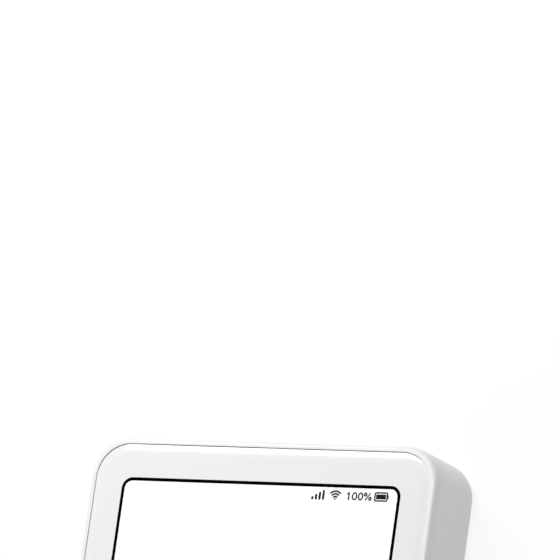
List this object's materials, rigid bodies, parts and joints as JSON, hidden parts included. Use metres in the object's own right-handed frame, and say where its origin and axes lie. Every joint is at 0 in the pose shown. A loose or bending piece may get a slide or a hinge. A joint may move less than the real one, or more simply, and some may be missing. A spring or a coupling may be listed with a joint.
{
  "type": "card payment terminal",
  "caption": "Flat square touch-display payment terminal with a rounded white case, chip card slot in its near edge, side power button and charging socket.",
  "frame": {"origin": "on the table under the middle of the case, which lies on its feet with the display up", "axes": "+Z out of the display, +Y towards the terminal's top edge, +X towards its right side"},
  "size_m": [0.084, 0.084, 0.0193],
  "materials": {
    "case_white": "satin",
    "panel_white": "gloss",
    "display_border": "satin",
    "lens_glass": "polished",
    "sensor_glass": "polished",
    "display_glass": "polished",
    "diffuser": "satin",
    "pressed_steel": "satin",
    "black_foam": "matte",
    "flex_amber": "satin",
    "copper": "satin",
    "ferrite": "matte",
    "chassis_plastic": "matte",
    "board_green": "satin",
    "chip_black": "matte",
    "module_lid": "satin",
    "plain_white": "matte",
    "connector_cream": "matte",
    "carbon_rubber": "matte",
    "cell_steel": "satin",
    "battery_wrap": "satin",
    "adhesive": "matte",
    "lead_red": "satin",
    "gold_contact": "polished",
    "bright_steel": "polished",
    "screw_steel": "satin",
    "slot_grey": "satin",
    "button_grey": "satin",
    "seal_rubber": "matte",
    "foot_rubber": "matte",
    "label_film": "satin",
    "mesh_fabric": "matte"
  },
  "bodies": {
    "terminal": {"rear_case": "case_white", "front_panel": "panel_white", "screen_gasket": "display_border", "cover_lens": "lens_glass", "touch_sensor": "sensor_glass", "lcd_glass": "display_glass", "backlight": "diffuser", "lcd_frame": "pressed_steel", "shield_cans": "pressed_steel", "lcd_foam": "black_foam", "lcd_flex": "flex_amber", "charge_ribbon": "flex_amber", "nfc_antenna": "flex_amber", "nfc_coil": "copper", "cell_antenna": "copper", "wifi_antenna": "copper", "ferrite_sheet": "ferrite", "mid_frame": "chassis_plastic", "pad_holder": "chassis_plastic", "speaker": "chassis_plastic", "main_board": "board_green", "board_chips": "chip_black", "sim_socket": "chip_black", "cell_holder": "chip_black", "smartcard_block": "chip_black", "card_switch": "chip_black", "side_switch": "chip_black", "usb_tongue": "chip_black", "cellular_module": "module_lid", "sim_card": "plain_white", "board_connectors": "connector_cream", "tamper_pucks": "carbon_rubber", "backup_cell": "cell_steel", "battery_pack": "battery_wrap", "battery_tape": "adhesive", "battery_leads": "lead_red", "charge_pads": "gold_contact", "usb_shell": "bright_steel", "case_screws": "screw_steel", "board_screws": "screw_steel", "slot_trim": "slot_grey", "card_guide": "slot_grey", "button_gasket": "seal_rubber", "rubber_feet": "foot_rubber", "rating_label": "label_film", "speaker_mesh": "mesh_fabric"},
    "power_button": {"power_button": "button_grey", "switch_plunger": "plain_white"},
    "card_contacts": {"card_contacts": "gold_contact"},
    "card_plunger": {"card_plunger": "plain_white"}
  },
  "joints": [
    {"name": "power_button_press", "type": "slide", "parent": "terminal", "child": "power_button", "axis": [-1, 0, 0], "range_m": [0, 0.0004], "stiffness_N_per_m": 2500, "springref_m": -0.0002},
    {"name": "card_contact_lift", "type": "slide", "parent": "terminal", "child": "card_contacts", "axis": [0, 0, 1], "range_m": [0, 0.00041], "stiffness_N_per_m": 4000, "springref_m": -0.0001},
    {"name": "card_detect", "type": "slide", "parent": "terminal", "child": "card_plunger", "axis": [0, 1, 0], "range_m": [0, 0.001], "stiffness_N_per_m": 400, "springref_m": -0.0005}
  ]
}
